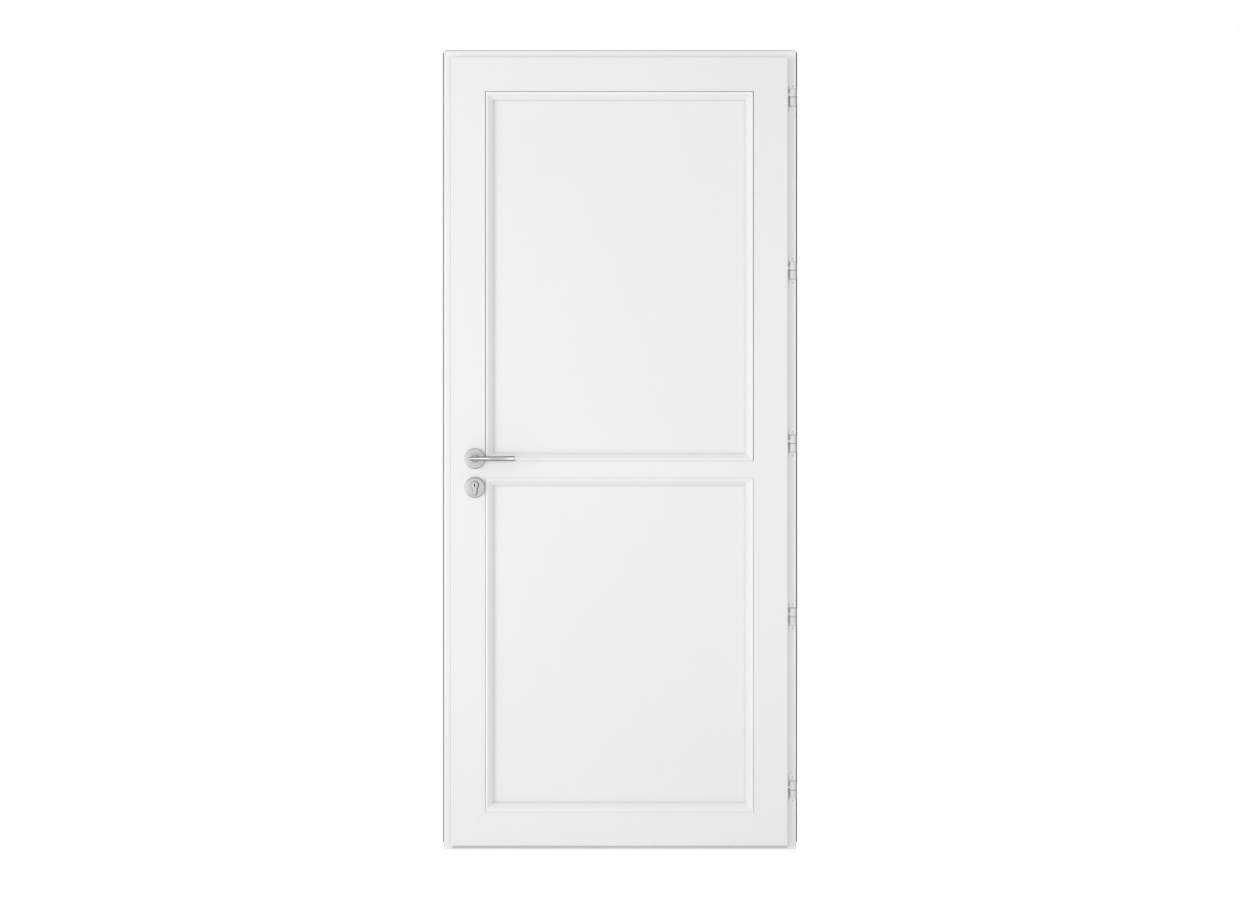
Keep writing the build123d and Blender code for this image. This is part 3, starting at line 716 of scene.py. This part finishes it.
@dataclass(frozen=True)
class Keyed(Finish):
    """Nickel core with a keyway whose walls are painted dark, for greasy grime and for painted shade in the
    slot.
    """

    axis: Pair
    level: float = 0.42
    roughness: float = 0.48
    half_width: float = 0.00142
    half_height: float = 0.0044
    # Tone of the keyway's walls: grime and painted shade.
    grease_and_shade: float = 0.02
    grease_gloss: float = 0.3
    dark: float = 0.86
    pale: float = 1.1
    ring_scale: float = 3400.0
    ring_gloss: float = 0.12
    relief: float = 0.00002
    strength: float = 0.3

    def inputs(self, graph: Graph) -> dict[Key, Any]:
        """Takes turned rings on the face, and a dark tone inside the keyway's outline.

        Args:
            graph: tree that gets the nodes.

        Returns:
            The value or wire of each socket, by name.
        """
        x, _, z = graph.about(x=self.axis[0], z=self.axis[1])
        rings = graph.rings(x, z, self.ring_scale)
        slot = (1.0 - x.size().above(self.half_width)) * (1.0 - z.size().above(self.half_height))
        face = graph.blend(rings, grey(self.level * self.dark), grey(self.level * self.pale))
        return {
            # The keyway's dark tone is partly grime and partly painted shade.
            "Base Color": graph.blend(slot, self.marked(graph, face), grey(self.grease_and_shade)),
            "Metallic": 1.0 - slot,
            "Roughness": self.roughness + rings.spread(self.ring_gloss) + slot * self.grease_gloss,
            "Normal": graph.bump(rings, self.relief, self.strength),
        }


@dataclass(frozen=True)
class Coated(Finish):
    """Powder-coated or moulded surface with a pebbled skin."""

    level: float
    roughness: float
    specular: float = 0.35
    dark: float = 0.96
    pale: float = 1.03
    pebble_scale: float = 1100.0
    wide_scale: float = 24.0
    share: float = 0.4
    pebble_gloss: float = 0.15
    relief: float = 0.00006
    strength: float = 0.4

    def inputs(self, graph: Graph) -> dict[Key, Any]:
        """Takes pebbles from a fine noise, with a wider noise for the tone.

        Args:
            graph: tree that gets the nodes.

        Returns:
            The value or wire of each socket, by name.
        """
        pebbles = graph.noise(graph.place(), self.pebble_scale)
        wide = graph.noise(graph.place(), self.wide_scale)
        tone = pebbles.mixed(wide, self.share)
        colour = graph.blend(tone, grey(self.level * self.dark), grey(self.level * self.pale))
        return {
            "Base Color": self.marked(graph, colour),
            "Roughness": self.roughness + pebbles.spread(self.pebble_gloss),
            "Specular IOR Level": self.specular,
            "Normal": graph.bump(pebbles, self.relief, self.strength),
        }


def put_on(finish: Finish, nodes: Nodes, names: Iterable[str]) -> None:
    """Gives some solids one finish in all their slots.

    Args:
        finish: look of the solids.
        nodes: solids by name.
        names: those that get the finish.
    """
    material = finish.material()
    for name in names:
        slots = nodes[name].data.materials
        if not slots:
            slots.append(material)
        for index in range(len(slots)):
            slots[index] = material


@dataclass
class Joinery:
    """Plastic profiles, panels, seals and sill of the frame and the leaf."""

    # Painted light: the head takes a paler copy of the white plastic than the jambs, for the light from
    # above.
    head_lit_level: float = 0.885
    # Painted light: all beads except the top ones take a paler copy of the white plastic, for the light on
    # their slopes.
    bead_lit_level: float = 0.888
    lock_joint: Pair = (-0.3340, -0.3350)
    hinge_joint: Pair = (0.3310, 0.3320)
    sole_joint: Pair = (0.9743, 0.9733)
    panel_level: float = 0.85
    panel_roughness: float = 0.46
    panel_middle: float = -0.0015
    panel_half: float = 0.315

    def dress(self, nodes: Nodes) -> None:
        """Dresses the frame, the leaf, its beads and its panels.

        Args:
            nodes: solids by name.
        """
        self.frame(nodes)
        self.leaf(nodes)
        self.beads(nodes)
        self.panels(nodes)

    def frame(self, nodes: Nodes) -> None:
        """Dresses the jambs, the head and the sill.

        Args:
            nodes: solids by name.
        """
        # Painted shade on the lock jamb, darker towards the leaf's edge, where the leaf shades it.
        leaf_edge_shade = PaintedFade(tone=0.68, axis=Run.X, start=-0.4266, full=-0.4222)
        # Painted shade along the lock jamb's outer front edge, where the rounded edge turns from the lights.
        lock_edge_shade = EdgeShade(tone=0.10, axis=Run.X, start=0.4404)
        # Painted light on the hinge jamb, paler towards its outer edge, away from the leaf's shade.
        strip_light = PaintedFade(tone=0.92, axis=Run.X, start=0.4300, full=0.4395)
        # Painted shade along the hinge jamb's outer front edge.
        hinge_edge_shade = EdgeShade(tone=0.05, axis=Run.X, start=0.4399)
        # Painted shade along the head's upper front edge, paler than on the jambs, as more light falls from
        # above.
        crown_shade = EdgeShade(tone=0.48, axis=Run.Z, start=1.9973)
        # Painted light on the sill, paler towards the floor, for the light thrown up from it.
        sheen = PaintedFade(tone=0.75, axis=Run.Z, start=0.007, full=0.0)
        put_on(Plastic("lock_jamb_profile", Run.Z, marks=(leaf_edge_shade, lock_edge_shade)), nodes, ["lock_jamb"])
        put_on(Plastic("hinge_jamb_profile", Run.Z, marks=(strip_light, hinge_edge_shade)), nodes, ["hinge_jamb"])
        # Painted light: the head's paler plastic stands in for light from above.
        put_on(Plastic("head_profile", Run.X, self.head_lit_level, marks=(crown_shade,)), nodes, ["frame_head"])
        ends = Ends(tone=0.855)
        # Painted shade: the sill's metal is set darker than bare aluminium, so its front reads as shaded
        # under the leaf.
        sill = Brushed("sill_anodised", Run.X, level=0.40, roughness=0.46, paint=ends, marks=(sheen,))
        put_on(sill, nodes, ["threshold"])

    def leaf(self, nodes: Nodes) -> None:
        """Dresses the stiles and the rails, and the seals of leaf and frame.

        Args:
            nodes: solids by name.
        """
        seals = ("frame_seal", "leaf_seal", "upper_panel_seal", "lower_panel_seal")
        put_on(Plastic("upright_profile", Run.Z), nodes, ["lock_stile", "hinge_stile"])
        put_on(Plastic("level_profile", Run.X), nodes, ["top_rail", "bottom_rail", "middle_rail"])
        put_on(Coated("seal_rubber", level=0.42, roughness=0.75), nodes, seals)

    def beads(self, nodes: Nodes) -> None:
        """Dresses the beads round the panels, with painted shade at their feet and a painted shade line along
        most of their outer gaps.

        Args:
            nodes: solids by name.
        """
        # Painted shade at the beads' feet, darker towards the panel.
        foot_shade = PaintedFade(tone=0.80, axis=Run.Y, start=-0.0445, full=-0.0375)
        # Painted shade in the gaps along the beads' outer edges, darkest on the lower panel.
        joint_shades = (
            ("upper_lock_bead", Run.Z, PaintedFade(0.70, Run.X, *self.lock_joint)),
            ("upper_hinge_bead", Run.Z, PaintedFade(0.72, Run.X, *self.hinge_joint)),
            ("lower_lock_bead", Run.Z, PaintedFade(0.52, Run.X, *self.lock_joint)),
            ("lower_hinge_bead", Run.Z, PaintedFade(0.58, Run.X, *self.hinge_joint)),
            ("upper_bottom_bead", Run.X, PaintedFade(0.70, Run.Z, *self.sole_joint)),
        )
        # Painted light: every bead except the two top ones takes the paler copy of the plastic.
        put_on(Plastic("top_bead", Run.X, marks=(foot_shade,)), nodes, ["upper_top_bead", "lower_top_bead"])
        put_on(Plastic("bottom_bead", Run.X, self.bead_lit_level, marks=(foot_shade,)), nodes, ["lower_bottom_bead"])
        for name, run, joint_shade in joint_shades:
            put_on(Plastic(f"{name}_profile", run, self.bead_lit_level, marks=(foot_shade, joint_shade)), nodes, [name])

    def panels(self, nodes: Nodes) -> None:
        """Dresses the two panels, with painted shade along their beads.

        Args:
            nodes: solids by name.
        """
        heights = (("upper_panel", 1.4329, 0.4411), ("lower_panel", 0.5149, 0.3964))
        for name, middle, half in heights:
            # Painted shade on each panel, darker next to its beads.
            margin_shade = MarginShade(0.78, middle=(self.panel_middle, middle), half=(self.panel_half, half))
            skin = Plastic(f"{name}_skin", Run.Z, self.panel_level, self.panel_roughness, marks=(margin_shade,))
            put_on(skin, nodes, [name])


@dataclass
class Ironwork:
    """Hinges, lock works, screws and hidden plastic pieces."""

    hinge_heights: tuple[float, ...] = (1.879, 1.4475, 1.016, 0.5845, 0.153)
    hinge_level: float = 0.72
    hinge_roughness: float = 0.38

    def dress(self, nodes: Nodes) -> None:
        """Dresses the hinges, the lock works and the hidden plastic.

        Args:
            nodes: solids by name.
        """
        self.hinges(nodes)
        plated = ("strike_plate", "lock_faceplate", "lock_case", "spindle", "lock_follower", "latch_bolt",
                  "deadbolt")
        screws = ("strike_screws", "hinge_pins", "faceplate_screws", "cylinder_screw", "rose_screws")
        hidden = ("setting_blocks", "room_lever_base", "street_lever_base")
        nickel = Brushed("nickel", Run.Y, level=0.38, roughness=0.48, tint=(1.0, 0.985, 0.96))
        put_on(Brushed("plated_steel", Run.Z, level=0.56, roughness=0.32), nodes, plated)
        put_on(Brushed("screw_steel", Run.X, level=0.42, roughness=0.4), nodes, screws)
        put_on(nickel, nodes, ["cylinder_body", "cylinder_cam"])
        put_on(Coated("moulded_grey", level=0.5, roughness=0.55), nodes, hidden)

    def hinges(self, nodes: Nodes) -> None:
        """Dresses plates, knuckles, screws and washers; each plate has its own painted light on its ends and
        painted shade on its front edge.

        Args:
            nodes: solids by name.
        """
        # Painted shade along each plate's front edge on the hinge side.
        rim_shade = EdgeShade(tone=0.08, axis=Run.X, start=0.4394, depth=-0.0373)
        knuckles = []
        for number, height in enumerate(self.hinge_heights, 1):
            # Painted light on the plate's ends, above and below the knuckle.
            marks = (LitEars(tone=0.95, height=height), rim_shade)
            plate = Coated(f"hinge_{number}_paint", self.hinge_level, self.hinge_roughness, marks=marks)
            put_on(plate, nodes, [f"hinge_{number}_plate"])
            knuckles.append(f"hinge_{number}_knuckle")
        put_on(Coated("knuckle_paint", self.hinge_level, self.hinge_roughness), nodes, knuckles)
        put_on(Coated("screw_paint", level=0.77, roughness=0.45), nodes, ["hinge_screws"])
        put_on(Coated("washer_black", level=0.06, roughness=0.55), nodes, ["hinge_washers"])


@dataclass
class Furniture:
    """Lever, rose, key rose and plug on one face of the leaf."""

    face: Face
    lock_x: float = -0.361
    lever_z: float = 0.979
    key_rose_z: float = 0.907
    plug_z: float = 0.913
    # Place of the lever's painted shade patch, then the reach and tone of the roses' painted highlights.
    mid_shade_x: float = -0.2995
    glint_start: float = 0.010
    glint_full: float = 0.028
    rim_highlight_tone: float = 0.57
    rose_level: float = 0.43
    key_rose_level: float = 0.41
    rose_roughness: float = 0.55

    def dress(self, nodes: Nodes) -> None:
        """Gives the furniture of this side its satin metal, with painted shade on the lever, painted
        highlights on the roses and a painted shadow round the cylinder.

        Args:
            nodes: solids by name.
        """
        side = self.face.value
        lever_axis = (self.lock_x, self.lever_z)
        key_axis = (self.lock_x, self.key_rose_z)
        plug_axis = (self.lock_x, self.plug_z)
        # Painted shade on the lever: a dim patch along it, its upper and lower edges and its neck.
        mid_shade = MidLeverShade(tone=0.155, middle=self.mid_shade_x)
        lever_shades = (mid_shade, FlankShade(tone=0.20, height=self.lever_z), CollarShade(tone=0.19))
        # Painted highlight on both roses, paler towards the lock side.
        glint = PaintedFade(0.52, Run.X, self.lock_x - self.glint_start, self.lock_x - self.glint_full)
        lever = Brushed(f"{side}_lever_satin", Run.X, level=0.31, roughness=0.20, marks=lever_shades)
        # Painted highlight on the rose's upper and lock side.
        rose = Turned(f"{side}_lever_rose_turned", lever_axis, self.rose_level, self.rose_roughness,
                      marks=(glint, RimHighlight(self.rim_highlight_tone, lever_axis)))
        # Painted highlight on the key rose's upper and lock side, and painted shadow round the cylinder.
        key_rose = Turned(f"{side}_key_rose_turned", key_axis, self.key_rose_level, self.rose_roughness,
                          marks=(glint, RimHighlight(self.rim_highlight_tone, key_axis), CylinderShadow(tone=0.06, axis=plug_axis)))
        put_on(lever, nodes, [f"{side}_lever"])
        put_on(rose, nodes, [f"{side}_lever_rose"])
        put_on(key_rose, nodes, [f"{side}_key_rose"])
        put_on(Keyed(f"{side}_plug_nickel", plug_axis), nodes, [f"{side}_plug"])


@dataclass(frozen=True)
class Lamp:
    """Soft rectangular lamp that looks at a point of the door."""

    name: str
    place: Vector3
    aim: Vector3
    size: Pair
    power: float

    def build(self) -> None:
        """Adds the lamp, turned so that its -Z axis points at the aim."""
        light = bpy.data.lights.new(self.name, "AREA")
        light.shape = "RECTANGLE"
        light.size, light.size_y = self.size
        light.energy = self.power
        lamp = bpy.data.objects.new(self.name, light)
        lamp.location = self.place
        away = np.array(self.aim) - np.array(self.place)
        flat = math.hypot(away[0], away[1])
        lamp.rotation_euler = (math.atan2(flat, -away[2]), 0.0, math.atan2(-away[0], away[1]))
        bpy.context.scene.collection.objects.link(lamp)


@dataclass
class Studio:
    """White room with a soft front light, a key light from the left and the camera.

    A fade is the pair of values between which a light, or its loss, comes in.
    """

    camera_place: Vector3 = (0.0, -4.3406, 1.0)
    lens: float = 50.0
    sensor: float = 36.0
    ambient: float = 0.503
    front: float = 0.10
    front_fade: Pair = (-0.15, 0.75)
    behind: float = 0.32
    behind_fade: Pair = (0.1, 0.8)
    above: float = 0.06
    above_fade: Pair = (-0.4, 0.9)
    floor_half: float = 14.0
    floor_level: float = 0.8
    floor_glow: float = 0.08
    seen_glow: float = 0.57
    far_loss: float = 0.157
    far_fade: Pair = (0.0, 4.0)

    def build(self) -> None:
        """Adds the world, the floor, the lamps and the camera."""
        self.world()
        self.floor()
        lamps = (
            Lamp("front_light", place=(0.2, -4.9, 0.95), aim=(0.0, 0.0, 0.95), size=(2.2, 1.8), power=41.5),
            Lamp("key_light", place=(-3.2, -2.9, 1.05), aim=(0.0, 0.0, 1.0), size=(1.6, 3.0), power=52.0),
        )
        for lamp in lamps:
            lamp.build()
        self.camera()

    def world(self) -> None:
        """White for what the camera and mirrors see; as light, a dome brighter in front, behind and above."""
        world = bpy.data.worlds.new("studio")
        bpy.context.scene.world = world
        graph = Graph(world)
        _, y, z = graph.axes(graph.node("ShaderNodeTexCoord").out("Generated"))
        ahead = (0.0 - y).step(*self.front_fade)
        back = y.step(*self.behind_fade)
        up = z.step(*self.above_fade)
        light = self.ambient + ahead * self.front + back * self.behind + up * self.above
        seen = graph.seen()
        strength = seen + (1.0 - seen) * light
        shader = graph.node("ShaderNodeBackground", None, {0: grey(1.0), 1: strength}).out(0)
        graph.node("ShaderNodeOutputWorld", None, {"Surface": shader})

    def floor(self) -> None:
        """Pale floor that the camera sees as white, except where the door shades it."""
        half = self.floor_half
        mesh = bpy.data.meshes.new("floor")
        corners = [(-half, -half, 0.0), (half, -half, 0.0), (half, half, 0.0), (-half, half, 0.0)]
        mesh.from_pydata(corners, [], [(0, 1, 2, 3)])
        piece = bpy.data.objects.new("floor", mesh)
        bpy.context.scene.collection.objects.link(piece)
        material = bpy.data.materials.new("pale_floor")
        graph = Graph(material)
        matt = graph.node("ShaderNodeBsdfDiffuse", None, {0: grey(self.floor_level)}).out(0)
        _, y, _ = graph.about()
        far = y.step(*self.far_fade)
        strength = self.floor_glow + graph.seen() * (self.seen_glow - far * self.far_loss)
        glow = graph.node("ShaderNodeEmission", None, {0: grey(1.0), 1: strength}).out(0)
        graph.close(graph.node("ShaderNodeAddShader", None, {0: matt, 1: glow}).out(0))
        mesh.materials.append(material)

    def camera(self) -> None:
        """Camera level with the middle of the door, square to it."""
        data = bpy.data.cameras.new("camera")
        data.lens = self.lens
        data.sensor_width = self.sensor
        data.sensor_fit = "HORIZONTAL"
        camera = bpy.data.objects.new("camera", data)
        camera.location = self.camera_place
        camera.rotation_euler = (math.pi / 2, 0.0, 0.0)
        bpy.context.scene.collection.objects.link(camera)
        bpy.context.scene.camera = camera
        bpy.context.scene.view_settings.view_transform = "Standard"


def main() -> None:
    """Builds the scene piece by piece."""
    logging.basicConfig(level=logging.INFO, format="%(name)s: %(message)s")
    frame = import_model()
    nodes = frame["nodes"]
    Studio().build()
    Joinery().dress(nodes)
    Ironwork().dress(nodes)
    for face in Face:
        Furniture(face).dress(nodes)
    for name, piece in nodes.items():
        LOG.info("%s wears %s", name, ", ".join(slot.name for slot in piece.data.materials))


if __name__ == "__main__":
    main()
